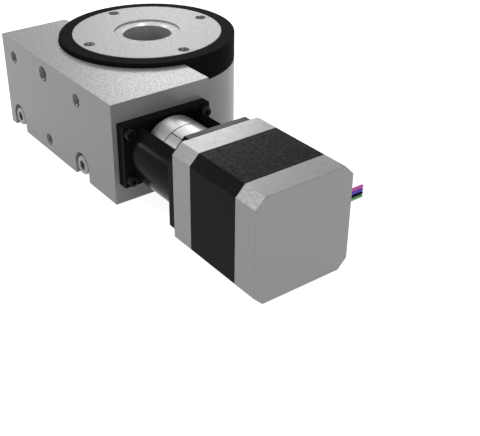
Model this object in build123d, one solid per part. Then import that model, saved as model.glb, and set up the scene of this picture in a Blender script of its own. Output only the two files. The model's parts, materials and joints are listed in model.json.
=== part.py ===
from build123d import *
import math
import os

# Positioning rotary table: a worm wheel on a hollow spindle in an aluminium block, driven through a clamp
# coupling by a square stepper motor. Origin on the table's axis in the base plane, +Z up, motor towards -Y.

# Housing block
block_left = 53.0
block_front = 57.6
block_back = 42.1
block_height = 44.3
block_right_front = 6.5
block_right_back = 20.0
block_corner = 1.6
round_radius = 40.1
round_height = 34.1
skirt_pocket_gap = 0.35
boss_radius = 35.8

# Left face: two tapped holes, a port and a dowel hole between two recessed cap screws
side_centre_y = 1.2
side_hole_spacing = 60.0
side_hole_height = 36.0
side_hole_radius = 2.1
side_hole_depth = 12.0
side_hole_countersink = 0.35
port_height = 37.8
port_radius = 2.7
port_depth = 9.0
dowel_height = 6.1
dowel_radius = 1.9
dowel_depth = 10.0
side_screw_spacing = 61.0
side_screw_height = 6.0
pocket_radius = 5.85
pocket_depth = 5.1

# Base: four tapped holes on a circle, and the cover over the wheel cavity
base_hole_circle = 73.2
base_hole_radius = 1.65
base_hole_depth = 9.0
base_hole_count = 4
base_hole_start = 45.0
cover_radius = 34.0
cover_thickness = 3.0
cover_recess = 0.4
cover_gap = 0.1
cover_screw_circle = 62.0
cover_screw_count = 6
cover_screw_start = 30.0
spindle_cover_gap = 0.7

# Table plate and hollow spindle
plate_radius = 34.0
plate_top = 46.5
plate_rim_height = 2.5
plate_flange_height = 1.6
plate_flange_overhang = 2.8
table_hole_circle = 60.0
table_hole_count = 4
table_hole_radius = 1.65
table_hole_depth = 3.0
table_hole_countersink = 0.5
recess_radius = 15.0
recess_depth = 1.1
bore_radius = 11.0
bore_chamfer = 0.7
spindle_seat_radius = 20.0
spindle_shoulder_radius = 22.5
spindle_wheel_radius = 17.0
spindle_thread_radius = 16.0
spindle_end_radius = 14.5
spindle_end_height = 1.0
spindle_end_length = 9.0

# Black skirt ring
ring_radius = 40.1
ring_drop = 0.3
ring_ledge_gap = 0.35
ring_fit = 0.05
ring_edge = 0.2

# Table bearing
bearing_width = 7.0
bearing_outer_radius = 31.0
bearing_top_gap = 3.0
race_thickness = 4.2
ball_radius = 2.2
ball_clearance = 0.04
ball_count = 18
retainer_thickness = 2.0
retainer_lap = 3.0
retainer_screw_circle = 66.8
retainer_screw_count = 6

# Worm gear: module, teeth and the centre distance set the two pitch radii
gear_module = 0.8
wheel_teeth = 60
centre_distance = 30.25
worm_height = 22.55
wheel_face = 9.0
wheel_hub_radius = 22.3
cavity_radius = 28.0
flank_angle = 20.0
flank_play = 0.07
root_clearance = 0.2
worm_turns = 8
thread_sink = 0.1
worm_journal_radius = 4.0
worm_bore_radius = 8.0
worm_bearing_width = 5.0
worm_ball_count = 8
worm_bearing_inset = 28.0
worm_shaft_front_end = 77.5
worm_nut_length = 5.0
worm_nut_bore = 5.6
plug_length = 6.0
plug_slot_width = 2.0
plug_slot_depth = 1.5
nut_radius = 22.0
nut_height = 5.0
nut_slot_count = 4
nut_slot_width = 4.0
nut_slot_depth = 2.0

# Flanged tube that carries the motor
oblong_half_width = 20.6
oblong_half_height = 13.5
oblong_thickness = 4.7
oblong_chamfer = 2.5
tube_radius = 18.3
tube_wall = 3.0
square_thickness = 3.2
square_chamfer = 7.4
spigot_length = 3.0
spigot_gap = 0.05
spigot_bore = 6.0
window_width = 26.4
oblong_screw_x = 18.0
oblong_screw_z = 10.9

# Clamp coupling
coupling_radius = 14.0
coupling_start = 65.1
coupling_end_gap = 0.7
coupling_slit = 0.4
clamp_slit_angle = 117.8
clamp_jaw_length = 10.2
slit_plane_offset = 2.0
clamp_screw_offset = 9.2
clamp_screw_inset = 5.2
clamp_head_seat = 3.0
coupling_edge = 0.5

# Stepper motor
motor_side = 42.3
motor_corner = 3.95
motor_front = 98.2
front_flange_length = 10.8
stack_length = 26.2
rear_cap_length = 10.8
motor_edge = 0.25
pilot_radius = 11.0
pilot_height = 2.0
pilot_gap = 0.05
mount_hole_spacing = 31.0
motor_shaft_radius = 2.5
motor_shaft_length = 16.7
motor_shaft_play = 0.5
shaft_gap = 0.6
motor_bearing_radius = 8.0
motor_bearing_width = 5.0
motor_bearing_inset = 2.6
motor_ball_count = 7
stator_bore_radius = 13.5
rotor_radius = 13.2
rotor_length = 23.0
rotor_groove = 1.6
coil_bore_radius = 14.0
coil_outer_radius = 18.5
coil_reach = 3.0
coil_room_radius = 19.0
coil_count = 8
coil_gap_angle = 9.0

# Motor leads
lead_radius = 0.65
lead_pitch = 1.35
lead_length = 15.6
lead_setback = 1.2
lead_rise = 0.9
grommet_half_height = 3.1
grommet_depth = 2.6
grommet_proud = 0.2
lead_names = ("pink", "blue", "navy", "green")

# Screws: shank radius, head radius, head height and key size
m5 = dict(shank=2.5, head=4.25, height=5.0, key=4.0)
m3 = dict(shank=1.5, head=2.7, height=3.0, key=2.5)
m25 = dict(shank=1.25, head=2.25, height=1.25, key=1.5)
m3_flat = dict(shank=1.5, head=2.7, height=1.6, key=2.0)
side_screw_length = 16.0
oblong_screw_length = 10.0
cover_screw_length = 6.0
retainer_screw_length = 5.0
clamp_screw_length = 9.0
mount_screw_length = 6.0
socket_share = 0.55
thread_fit = 0.03
head_chamfer_share = 0.1
screw_end_gap = 1.0
overcut = 1.0

# Small bearings, as shares of the wall between bore and outside, or of the width
small_ball_share = 0.2
small_ring_share = 0.28
small_shield_share = 0.08
small_shield_gap_share = 0.03
small_shield_overlap = 0.01

# Derived places
worm_x = -centre_distance
wheel_pitch_radius = gear_module * wheel_teeth / 2
worm_pitch_radius = centre_distance - wheel_pitch_radius
tooth_pitch = math.pi * gear_module
plate_under = plate_top - plate_rim_height - plate_flange_height
ring_top = plate_top - ring_drop
ring_seat = plate_top - plate_rim_height
bearing_top = plate_under - bearing_top_gap
bearing_bottom = bearing_top - bearing_width
bearing_middle = bearing_top - bearing_width / 2
ball_circle = (spindle_seat_radius + bearing_outer_radius) / 2
wheel_bottom = worm_height - wheel_face / 2
wheel_top = worm_height + wheel_face / 2
tube_front = block_front + oblong_thickness
tube_back = motor_front - square_thickness
tube_bore = tube_radius - tube_wall
coupling_end = tube_back - coupling_end_gap
flange_back = motor_front + front_flange_length
stack_back = flange_back + stack_length
motor_back = stack_back + rear_cap_length
half_side = motor_side / 2
shaft_tip = motor_front - motor_shaft_length
cover_top = cover_recess + cover_thickness
lead_y = stack_back + lead_setback


def disc(radius, low, high):
    """Solid cylinder about the table's axis between two heights."""
    return Pos(0, 0, low) * extrude(Circle(radius), high - low)


def tube(inner, outer, low, high):
    """Ring about the table's axis between two heights."""
    return disc(outer, low, high) - disc(inner, low - overcut, high + overcut)


def along_y(shape):
    """Turn a piece built about Z so that its Z runs along +Y on the motor's axis."""
    return Pos(worm_x, 0, worm_height) * Rot(-90, 0, 0) * shape


def box(low, high):
    """Box from its lowest to its highest corner."""
    size = [b - a for a, b in zip(low, high)]
    return Pos(*low) * Box(*size, align=(Align.MIN, Align.MIN, Align.MIN))


def chamfered_square(half_width, half_height, corner, low, high):
    """Plate outline with cut corners, square to the motor's axis, between two distances along +Y."""
    outline = chamfer(Rectangle(2 * half_width, 2 * half_height).vertices(), corner)
    return along_y(extrude(Pos(0, 0, low) * outline, high - low))


def cap_screw(size, length):
    """Socket head cap screw pointing down -Z, with the underside of its head at z = 0."""
    head = extrude(Circle(size["head"]), size["height"])
    head = chamfer(head.edges().group_by(Axis.Z)[-1], size["head"] * head_chamfer_share)
    socket = RegularPolygon(size["key"] / 2, 6, major_radius=False)
    depth = size["height"] * socket_share
    head -= extrude(Pos(0, 0, size["height"] - depth) * socket, depth)
    return head + extrude(Circle(size["shank"]), -length)


def flat_screw(size, length):
    """Countersunk socket screw pointing down -Z, with the top of its head at z = 0."""
    cone = Pos(0, 0, -size["height"]) * Cone(
        size["shank"], size["head"], size["height"], align=(Align.CENTER, Align.CENTER, Align.MIN)
    )
    body = cone + extrude(Circle(size["shank"]), -length)
    socket = RegularPolygon(size["key"] / 2, 6, major_radius=False)
    depth = size["height"] * socket_share
    return body - extrude(Pos(0, 0, -depth) * socket, depth)


def flat_sink(size, length):
    """Hole for a countersunk screw, sunk from z = 0 downwards."""
    cone = Pos(0, 0, -size["height"]) * Cone(
        size["shank"], size["head"], size["height"], align=(Align.CENTER, Align.CENTER, Align.MIN)
    )
    return cone + extrude(Circle(size["shank"]), -length)


def ring_of(shape, count, first=0.0):
    """Copies of a shape at equal angles about the table's axis."""
    return [Rot(0, 0, first + 360 * i / count) * shape for i in range(count)]


def save(name, shapes):
    """Write one node: a single solid, or a group of separate solids."""
    solids = [s for shape in (shapes if isinstance(shapes, list) else [shapes]) for s in shape.solids()]
    part = Compound(label=name, children=solids) if len(solids) > 1 else solids[0]
    export_step(part, f"parts/{name}.step")
    print(name, len(solids))


def ball_bearing(bore, outer, width, balls):
    """Sealed ball bearing about Z, lower face at z = 0: outer ring with shields, inner ring, balls."""
    wall = outer - bore
    middle = bore + wall / 2
    radius = wall * small_ball_share
    inner_edge = bore + wall * small_ring_share
    outer_edge = outer - wall * small_ring_share
    shield = width * small_shield_share
    groove = Pos(0, 0, width / 2) * Torus(middle, radius + ball_clearance)
    outside = extrude(Circle(outer) - Circle(outer_edge), width)
    lid = Circle(outer_edge + small_shield_overlap) - Circle(inner_edge + wall * small_shield_gap_share)
    outside = outside + extrude(lid, shield) + extrude(Pos(0, 0, width - shield) * lid, shield)
    inside = extrude(Circle(inner_edge) - Circle(bore), width)
    ball = Pos(middle, 0, width / 2) * Sphere(radius)
    return outside - groove, inside - groove, ring_of(ball, balls)


def housing_block():
    """Milled block with a raised step, a round end under the skirt, a wheel cavity and a worm bore."""
    plan = Polyline(
        (-block_left, -block_front),
        (-block_right_front, -block_front),
        (-block_right_front, 0),
        (-block_right_back, 0),
        (-block_right_back, block_back),
        (-block_left, block_back),
        close=True,
    )
    raised = extrude(make_face(plan), block_height)
    back_corner = raised.edges().filter_by(Axis.Z).sort_by(Axis.Y)[-2:].sort_by(Axis.X)[-1]
    raised = fillet(back_corner, block_corner)
    raised -= disc(round_radius + skirt_pocket_gap, round_height, block_height + overcut)
    body = raised + disc(round_radius, 0, round_height) + disc(boss_radius, round_height, bearing_top)
    body -= disc(bearing_outer_radius, bearing_bottom, bearing_top + overcut)
    body -= disc(cavity_radius, 0, bearing_bottom + overcut)
    body -= disc(cover_radius + cover_gap, -overcut, cover_top)
    worm_bore = extrude(Circle(worm_bore_radius), block_front + block_back + 2 * overcut)
    body -= along_y(Pos(0, 0, -block_front - overcut) * worm_bore)
    cover_hole = Pos(cover_screw_circle / 2, 0, cover_top) * extrude(
        Circle(m3_flat["shank"] + thread_fit), cover_screw_length
    )
    retainer_hole = Pos(retainer_screw_circle / 2, 0, bearing_top) * extrude(
        Circle(m25["shank"] + thread_fit), -retainer_screw_length
    )
    base_hole = Pos(base_hole_circle / 2, 0, 0) * extrude(Circle(base_hole_radius), base_hole_depth)
    cuts = ring_of(cover_hole, cover_screw_count, cover_screw_start)
    cuts += ring_of(retainer_hole, retainer_screw_count)
    cuts += ring_of(base_hole, base_hole_count, base_hole_start)
    for side in (-1, 1):
        hole = Circle(side_hole_radius)
        flare = Cone(
            side_hole_radius + side_hole_countersink, side_hole_radius, side_hole_countersink,
            align=(Align.CENTER, Align.CENTER, Align.MIN),
        )
        y = side_centre_y + side * side_hole_spacing / 2
        place = Pos(-block_left, y, side_hole_height) * Rot(0, 90, 0)
        cuts += [place * extrude(hole, side_hole_depth), place * flare]
        y = side_centre_y + side * side_screw_spacing / 2
        place = Pos(-block_left, y, side_screw_height) * Rot(0, 90, 0)
        cuts.append(place * extrude(Circle(pocket_radius), pocket_depth))
        pocket_end = -block_left + pocket_depth
        low = (-block_left, y - pocket_radius, -overcut)
        cuts.append(box(low, (pocket_end, y + pocket_radius, side_screw_height)))
        cuts.append(place * extrude(Circle(m5["shank"] + thread_fit), pocket_depth + side_screw_length))
        for across in (-1, 1):
            x = worm_x + across * oblong_screw_x
            z = worm_height + side * oblong_screw_z
            depth = oblong_screw_length - oblong_thickness + overcut
            drill = extrude(Circle(m3["shank"] + thread_fit), depth)
            cuts.append(Pos(x, -block_front, z) * Rot(-90, 0, 0) * drill)
    middle_holes = ((port_height, port_radius, port_depth), (dowel_height, dowel_radius, dowel_depth))
    for height, radius, depth in middle_holes:
        flare = Cone(
            radius + side_hole_countersink, radius, side_hole_countersink,
            align=(Align.CENTER, Align.CENTER, Align.MIN),
        )
        place = Pos(-block_left, side_centre_y, height) * Rot(0, 90, 0)
        cuts += [place * extrude(Circle(radius), depth), place * flare]
    return body.cut(*cuts)


def side_cap_screws():
    """Two cap screws in the left face's pockets, heads towards -X."""
    screw = Rot(0, -90, 0) * cap_screw(m5, side_screw_length)
    x = -block_left + pocket_depth
    return [
        Pos(x, side_centre_y + side * side_screw_spacing / 2, side_screw_height) * screw for side in (-1, 1)
    ]


def table_plate():
    """Plate and hollow spindle, turned in one piece."""
    section = Polyline(
        (bore_radius, spindle_end_height),
        (spindle_end_radius, spindle_end_height),
        (spindle_end_radius, spindle_end_height + spindle_end_length),
        (spindle_thread_radius, spindle_end_height + spindle_end_length),
        (spindle_thread_radius, wheel_bottom),
        (spindle_wheel_radius, wheel_bottom),
        (spindle_wheel_radius, bearing_bottom),
        (spindle_seat_radius, bearing_bottom),
        (spindle_seat_radius, bearing_top),
        (spindle_shoulder_radius, bearing_top),
        (spindle_shoulder_radius, plate_under),
        (plate_radius + plate_flange_overhang, plate_under),
        (plate_radius + plate_flange_overhang, ring_seat),
        (plate_radius, ring_seat),
        (plate_radius, plate_top),
        (recess_radius, plate_top),
        (recess_radius, plate_top - recess_depth),
        (bore_radius + bore_chamfer, plate_top - recess_depth),
        (bore_radius, plate_top - recess_depth - bore_chamfer),
        close=True,
    )
    body = revolve(Plane.XZ * make_face(section), Axis.Z)
    hole = Pos(table_hole_circle / 2, 0, plate_top) * (
        extrude(Circle(table_hole_radius), -table_hole_depth)
        + Cone(
            table_hole_radius, table_hole_radius + table_hole_countersink, table_hole_countersink,
            align=(Align.CENTER, Align.CENTER, Align.MAX),
        )
    )
    return body.cut(*ring_of(hole, table_hole_count))


def dial_ring():
    """Black skirt ring that sits on the plate's flange and hangs down over the bearing boss."""
    inner = plate_radius + plate_flange_overhang + ring_fit
    low = round_height + ring_ledge_gap
    section = Polyline(
        (inner, low),
        (ring_radius, low),
        (ring_radius, ring_top - ring_edge),
        (ring_radius - ring_edge, ring_top),
        (plate_radius + ring_fit, ring_top),
        (plate_radius + ring_fit, ring_seat),
        (inner, ring_seat),
        close=True,
    )
    return revolve(Plane.XZ * make_face(section), Axis.Z)


def worm_wheel():
    """Bronze wheel whose tooth gaps lean by the worm's lead angle."""
    tip = wheel_pitch_radius + gear_module
    root = wheel_pitch_radius - gear_module - root_clearance
    blank = tube(spindle_wheel_radius, tip, wheel_bottom, wheel_top)
    blank += tube(spindle_wheel_radius, wheel_hub_radius, wheel_top, bearing_bottom)
    slope = math.tan(math.radians(flank_angle))
    half_pitch = math.pi / wheel_teeth

    def gap_corner(radius, side):
        half_tooth = tooth_pitch / 4 - flank_play / 2 - (radius - wheel_pitch_radius) * slope
        angle = math.pi + side * (half_pitch - half_tooth / radius)
        return radius * math.cos(angle), radius * math.sin(angle)

    beyond = tip + gear_module / 2
    outline = Polyline(
        gap_corner(root, -1), gap_corner(beyond, -1), gap_corner(beyond, 1), gap_corner(root, 1), close=True
    )
    lean = gear_module / 2 / worm_pitch_radius
    reach = wheel_face / 2 + overcut
    gap = extrude(
        Pos(0, lean * reach, worm_height - reach) * make_face(outline), 2 * reach, dir=(0, -lean, 1)
    )
    return blank.cut(*ring_of(gap, wheel_teeth))


def spindle_nut():
    """Slotted ring nut under the wheel."""
    nut = tube(spindle_thread_radius, nut_radius, wheel_bottom - nut_height, wheel_bottom)
    slot = box(
        (nut_radius - nut_slot_depth, -nut_slot_width / 2, wheel_bottom - nut_height - overcut),
        (nut_radius + overcut, nut_slot_width / 2, wheel_bottom + overcut),
    )
    return nut.cut(*ring_of(slot, nut_slot_count))


def table_bearing():
    """Outer ring, inner ring and balls of the table's bearing."""
    groove = Pos(0, 0, bearing_middle) * Torus(ball_circle, ball_radius + ball_clearance)
    outer = tube(bearing_outer_radius - race_thickness, bearing_outer_radius, bearing_bottom, bearing_top)
    inner = tube(spindle_seat_radius, spindle_seat_radius + race_thickness, bearing_bottom, bearing_top)
    ball = Pos(ball_circle, 0, bearing_middle) * Sphere(ball_radius)
    return outer - groove, inner - groove, ring_of(ball, ball_count)


def bearing_retainer():
    """Ring on the boss that holds the bearing's outer ring down."""
    top = bearing_top + retainer_thickness
    plate = tube(bearing_outer_radius - retainer_lap, boss_radius, bearing_top, top)
    sink = Pos(retainer_screw_circle / 2, 0, top) * flat_sink(m25, retainer_thickness + overcut)
    return plate.cut(*ring_of(sink, retainer_screw_count))


def retainer_screws():
    """Countersunk screws through the retainer."""
    length = retainer_thickness + retainer_screw_length - screw_end_gap
    screw = Pos(retainer_screw_circle / 2, 0, bearing_top + retainer_thickness) * flat_screw(m25, length)
    return ring_of(screw, retainer_screw_count)


def bottom_cover():
    """Round cover under the wheel, open in the middle for the hollow spindle."""
    plate = tube(spindle_end_radius + spindle_cover_gap, cover_radius, cover_recess, cover_top)
    sink = Rot(180, 0, 0) * flat_sink(m3_flat, cover_thickness + overcut)
    sink = Pos(cover_screw_circle / 2, 0, cover_recess) * sink
    return plate.cut(*ring_of(sink, cover_screw_count, cover_screw_start))


def cover_screws():
    """Countersunk screws of the bottom cover."""
    screw = Rot(180, 0, 0) * flat_screw(m3_flat, cover_thickness + cover_screw_length - screw_end_gap)
    return ring_of(Pos(cover_screw_circle / 2, 0, cover_recess) * screw, cover_screw_count, cover_screw_start)


def worm_shaft():
    """Single-start worm, with journals and a long front end that reaches into the coupling."""
    length = worm_turns * tooth_pitch
    tip = worm_pitch_radius + gear_module
    root = tip - 2 * gear_module - root_clearance
    foot = root - thread_sink
    slope = math.tan(math.radians(flank_angle))

    def half_width(radius):
        return tooth_pitch / 4 - flank_play / 2 - (radius - worm_pitch_radius) * slope

    profile = Polyline(
        (foot, 0, -half_width(foot)),
        (tip, 0, -half_width(tip)),
        (tip, 0, half_width(tip)),
        (foot, 0, half_width(foot)),
        close=True,
    )
    helix = Helix(pitch=tooth_pitch, height=length, radius=worm_pitch_radius)
    thread = sweep(make_face(profile), path=helix, is_frenet=True)
    relief = root - root_clearance
    half = length / 2 + tooth_pitch
    end = worm_bearing_inset + worm_bearing_width
    body = Pos(0, 0, -length / 2) * thread + Pos(0, 0, -half) * extrude(Circle(root), 2 * half)
    for low, high, radius in (
        (half, worm_bearing_inset, relief),
        (-worm_bearing_inset, -half, relief),
        (worm_bearing_inset, end, worm_journal_radius),
        (-worm_shaft_front_end, -worm_bearing_inset, worm_journal_radius),
    ):
        body += Pos(0, 0, low) * extrude(Circle(radius), high - low)
    return along_y(body)


def worm_bearings():
    """A ball bearing at each end of the worm."""
    width = worm_bearing_width
    outer, inner, balls = ball_bearing(worm_journal_radius, worm_bore_radius, width, worm_ball_count)
    places = (-worm_bearing_inset - width, worm_bearing_inset)
    return [
        [along_y(Pos(0, 0, low) * shape) for low in places for shape in group]
        for group in ([outer], [inner], balls)
    ]


def worm_bearing_nut():
    """Threaded ring that holds the front bearing."""
    low = -worm_bearing_inset - worm_bearing_width - worm_nut_length
    ring = Circle(worm_bore_radius) - Circle(worm_nut_bore)
    return along_y(Pos(0, 0, low) * extrude(ring, worm_nut_length))


def worm_end_plug():
    """Slotted plug behind the rear bearing."""
    low = worm_bearing_inset + worm_bearing_width
    plug = Pos(0, 0, low) * extrude(Circle(worm_bore_radius), plug_length)
    top = low + plug_length
    slot = box(
        (-worm_bore_radius - overcut, -plug_slot_width / 2, top - plug_slot_depth),
        (worm_bore_radius + overcut, plug_slot_width / 2, top + overcut),
    )
    return along_y(plug - slot)


def coupling_housing():
    """Flanged tube: oblong flange on the block, square flange on the motor, window in the top."""
    body = chamfered_square(oblong_half_width, oblong_half_height, oblong_chamfer, -tube_front, -block_front)
    body += along_y(Pos(0, 0, -tube_back) * extrude(Circle(tube_radius), tube_back - tube_front))
    body += chamfered_square(half_side, half_side, square_chamfer, -motor_front, -tube_back)
    body += along_y(Pos(0, 0, -block_front) * extrude(Circle(worm_bore_radius - spigot_gap), spigot_length))
    body -= along_y(Pos(0, 0, -tube_back) * extrude(Circle(tube_bore), tube_back - tube_front))
    through = oblong_thickness + spigot_length + 2 * overcut
    body -= along_y(Pos(0, 0, -tube_front - overcut) * extrude(Circle(spigot_bore), through))
    pilot_seat = extrude(Circle(pilot_radius + pilot_gap), square_thickness + 2 * overcut)
    body -= along_y(Pos(0, 0, -motor_front - overcut) * pilot_seat)
    body -= box(
        (worm_x - window_width / 2, -tube_back, worm_height),
        (worm_x + window_width / 2, -tube_front, worm_height + tube_radius + overcut),
    )
    cuts = []
    for across in (-1, 1):
        for up in (-1, 1):
            drill = extrude(Circle(m3["shank"] + thread_fit), oblong_thickness + 2 * overcut)
            x = worm_x + across * oblong_screw_x
            z = worm_height + up * oblong_screw_z
            cuts.append(Pos(x, -tube_front - overcut, z) * Rot(-90, 0, 0) * drill)
            x = worm_x + across * mount_hole_spacing / 2
            z = worm_height + up * mount_hole_spacing / 2
            sink = Rot(-90, 0, 0) * flat_sink(m3_flat, square_thickness + overcut)
            cuts.append(Pos(x, -tube_back, z) * sink)
    return body.cut(*cuts)


def corner_screws(screw, half_x, half_z, y):
    """Four screws at the corners of a rectangle about the motor's axis."""
    return [
        Pos(worm_x + across * half_x, y, worm_height + up * half_z) * screw
        for across in (-1, 1)
        for up in (-1, 1)
    ]


def clamp_end(cut, end, outward):
    """Slits of one clamp, its slit along +X: one along the bore to the end, one half way round."""
    far = coupling_radius + overcut
    low, high = sorted((cut, end + outward))
    along = box((0, -coupling_slit / 2, low), (far, coupling_slit / 2, high))
    half = coupling_slit / 2
    return [along, box((slit_plane_offset, -far, cut - half), (far, far, cut + half))]


def clamp_hole(z):
    """Hole of a clamp screw across the slit, with a pocket for its head."""
    side = Pos(clamp_screw_offset, clamp_head_seat, z) * Rot(-90, 0, 0)
    shank = side * extrude(Circle(m3["shank"] + thread_fit), -clamp_screw_length - overcut)
    return [shank, side * extrude(Circle(m3["head"] + coupling_slit / 2), coupling_radius)]


def shaft_coupling():
    """One-piece clamp coupling: at each end one slit runs along a side and one half way round."""
    body = Pos(0, 0, -coupling_end) * extrude(Circle(coupling_radius), coupling_end - coupling_start)
    body = chamfer(body.edges(), coupling_edge)
    middle = (shaft_tip + worm_shaft_front_end) / 2
    worm_bore = Pos(0, 0, -middle) * extrude(Circle(worm_journal_radius + thread_fit), middle)
    motor_bore = extrude(Circle(motor_shaft_radius + thread_fit), motor_front - middle)
    motor_bore = Pos(0, 0, -motor_front) * motor_bore
    motor_clamp = clamp_end(-coupling_start - clamp_jaw_length, -coupling_end, -1)
    motor_clamp += clamp_hole(-coupling_end + clamp_screw_inset)
    worm_clamp = clamp_end(-coupling_end + clamp_jaw_length, -coupling_start, 1)
    worm_clamp += clamp_hole(-coupling_start - clamp_screw_inset)
    turn = Rot(0, 0, -clamp_slit_angle)
    cuts = [turn * cut for cut in motor_clamp] + [turn * Rot(0, 0, 180) * cut for cut in worm_clamp]
    return along_y(body.cut(worm_bore, motor_bore, *cuts))


def clamp_screws():
    """One clamp screw across the slit at each end of the coupling."""
    screw = Rot(-90, 0, 0) * cap_screw(m3, clamp_screw_length)
    motor_end = Pos(clamp_screw_offset, clamp_head_seat, -coupling_end + clamp_screw_inset) * screw
    worm_end = Pos(clamp_screw_offset, clamp_head_seat, -coupling_start - clamp_screw_inset) * screw
    turn = Rot(0, 0, -clamp_slit_angle)
    return [along_y(turn * motor_end), along_y(turn * Rot(0, 0, 180) * worm_end)]


def motor_front_flange():
    """Square flange with the pilot, the front bearing's seat and room for the coils."""
    body = chamfered_square(half_side, half_side, motor_corner, -flange_back, -motor_front)
    body += along_y(Pos(0, 0, -motor_front) * extrude(Circle(pilot_radius), pilot_height))
    seat = motor_front + motor_bearing_inset + motor_bearing_width
    body -= along_y(Pos(0, 0, -seat) * extrude(Circle(motor_bearing_radius), motor_bearing_width))
    body -= along_y(Pos(0, 0, -flange_back) * extrude(Circle(coil_room_radius), flange_back - seat))
    body -= along_y(Pos(0, 0, -seat) * extrude(Circle(motor_shaft_radius + shaft_gap), seat))
    drill = Rot(90, 0, 0) * extrude(Circle(m3["shank"] + thread_fit), mount_screw_length)
    holes = corner_screws(drill, mount_hole_spacing / 2, mount_hole_spacing / 2, -motor_front)
    return body.cut(*holes)


def motor_stack():
    """Laminated steel stack, square outside and round inside."""
    body = chamfered_square(half_side, half_side, motor_corner, -stack_back, -flange_back)
    stator_bore = extrude(Circle(stator_bore_radius), stack_length + 2 * overcut)
    return body - along_y(Pos(0, 0, -stack_back - overcut) * stator_bore)


def motor_rear_cap():
    """Square rear cap with the rear bearing's seat and a notch for the leads."""
    body = chamfered_square(half_side, half_side, motor_corner, -motor_back, -stack_back)
    rim = body.faces().sort_by(Axis.Y)[0].edges()
    body = chamfer(rim, motor_edge)
    seat = motor_back - motor_bearing_inset
    body -= along_y(Pos(0, 0, -seat) * extrude(Circle(motor_bearing_radius), motor_bearing_width))
    room = seat - motor_bearing_width - stack_back
    body -= along_y(Pos(0, 0, -stack_back - room) * extrude(Circle(coil_room_radius), room))
    return body - box(*grommet_corners(overcut))


def grommet_corners(proud):
    """Corners of the grommet or its notch, which stand proud of the rear cap's side."""
    z = worm_height + lead_rise
    side = worm_x + half_side
    low = (side - grommet_depth, -stack_back - 2 * lead_setback, z - grommet_half_height)
    return low, (side + proud, -stack_back, z + grommet_half_height)


def lead_grommet():
    """Plastic block in the rear cap's notch, where the leads come out."""
    return box(*grommet_corners(grommet_proud))


def lead(index):
    """Straight end of one motor lead, cut off square."""
    z = worm_height + lead_rise + ((len(lead_names) - 1) / 2 - index) * lead_pitch
    start = worm_x + half_side + grommet_proud
    return Pos(start, -lead_y, z) * Rot(0, 90, 0) * extrude(Circle(lead_radius), lead_length)


def stator_coils():
    """Winding ends that stand out of the stack in front and behind."""
    section = Pos((coil_bore_radius + coil_outer_radius) / 2, 0, 0) * Rectangle(
        coil_outer_radius - coil_bore_radius, coil_reach
    )
    sweep_angle = 360 / coil_count - coil_gap_angle
    coil = revolve(Plane.XZ * section, Axis.Z, sweep_angle)
    ends = (-flange_back + coil_reach / 2, -stack_back - coil_reach / 2)
    return [along_y(Pos(0, 0, z) * piece) for z in ends for piece in ring_of(coil, coil_count)]


def motor_shaft():
    """Straight motor shaft from behind the rear bearing into the coupling."""
    back = motor_back - motor_bearing_inset - motor_shaft_play
    return along_y(Pos(0, 0, -back) * extrude(Circle(motor_shaft_radius), back - shaft_tip))


def rotor_core():
    """Rotor in two magnet sections with a groove between them."""
    middle = -(flange_back + stack_back) / 2
    low = middle - rotor_length / 2
    body = Pos(0, 0, low) * extrude(Circle(rotor_radius), rotor_length)
    groove = Circle(rotor_radius + overcut) - Circle(rotor_radius - rotor_groove)
    body -= Pos(0, 0, middle - rotor_groove / 2) * extrude(groove, rotor_groove)
    shaft_hole = extrude(Circle(motor_shaft_radius), rotor_length + 2 * overcut)
    return along_y(body - Pos(0, 0, low - overcut) * shaft_hole)


def motor_bearings():
    """A ball bearing in the motor's front flange and one in its rear cap."""
    width = motor_bearing_width
    outer, inner, balls = ball_bearing(motor_shaft_radius, motor_bearing_radius, width, motor_ball_count)
    places = (-motor_front - motor_bearing_inset - width, -motor_back + motor_bearing_inset)
    return [
        [along_y(Pos(0, 0, low) * shape) for low in places for shape in group]
        for group in ([outer], [inner], balls)
    ]


def write_parts():
    """Make every piece and write it to its own file."""
    save("housing_block", housing_block())
    save("side_cap_screws", side_cap_screws())
    save("bottom_cover", bottom_cover())
    save("bottom_cover_screws", cover_screws())
    save("bearing_retainer", bearing_retainer())
    save("bearing_retainer_screws", retainer_screws())
    outer, inner, balls = table_bearing()
    save("table_bearing_outer", outer)
    save("table_bearing_inner", inner)
    save("table_bearing_balls", balls)
    save("table_plate", table_plate())
    save("dial_ring", dial_ring())
    save("worm_wheel", worm_wheel())
    save("spindle_nut", spindle_nut())
    save("worm_shaft", worm_shaft())
    outers, inners, balls = worm_bearings()
    save("worm_bearing_outers", outers)
    save("worm_bearing_inners", inners)
    save("worm_bearing_balls", balls)
    save("worm_bearing_nut", worm_bearing_nut())
    save("worm_end_plug", worm_end_plug())
    save("coupling_housing", coupling_housing())
    oblong_screw = Rot(90, 0, 0) * cap_screw(m3, oblong_screw_length)
    save("coupling_housing_screws", corner_screws(oblong_screw, oblong_screw_x, oblong_screw_z, -tube_front))
    mount_screw = Rot(-90, 0, 0) * flat_screw(m3_flat, square_thickness + mount_screw_length - screw_end_gap)
    half_spacing = mount_hole_spacing / 2
    save("motor_mount_screws", corner_screws(mount_screw, half_spacing, half_spacing, -tube_back))
    save("shaft_coupling", shaft_coupling())
    save("coupling_clamp_screws", clamp_screws())
    save("motor_front_flange", motor_front_flange())
    save("motor_stack", motor_stack())
    save("motor_rear_cap", motor_rear_cap())
    save("stator_coils", stator_coils())
    save("lead_grommet", lead_grommet())
    for index, name in enumerate(lead_names):
        save(f"lead_{name}", lead(index))
    save("motor_shaft", motor_shaft())
    save("rotor_core", rotor_core())
    outers, inners, balls = motor_bearings()
    save("motor_bearing_outers", outers)
    save("motor_bearing_inners", inners)
    save("motor_bearing_balls", balls)


os.makedirs("parts", exist_ok=True)
write_parts()
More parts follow.
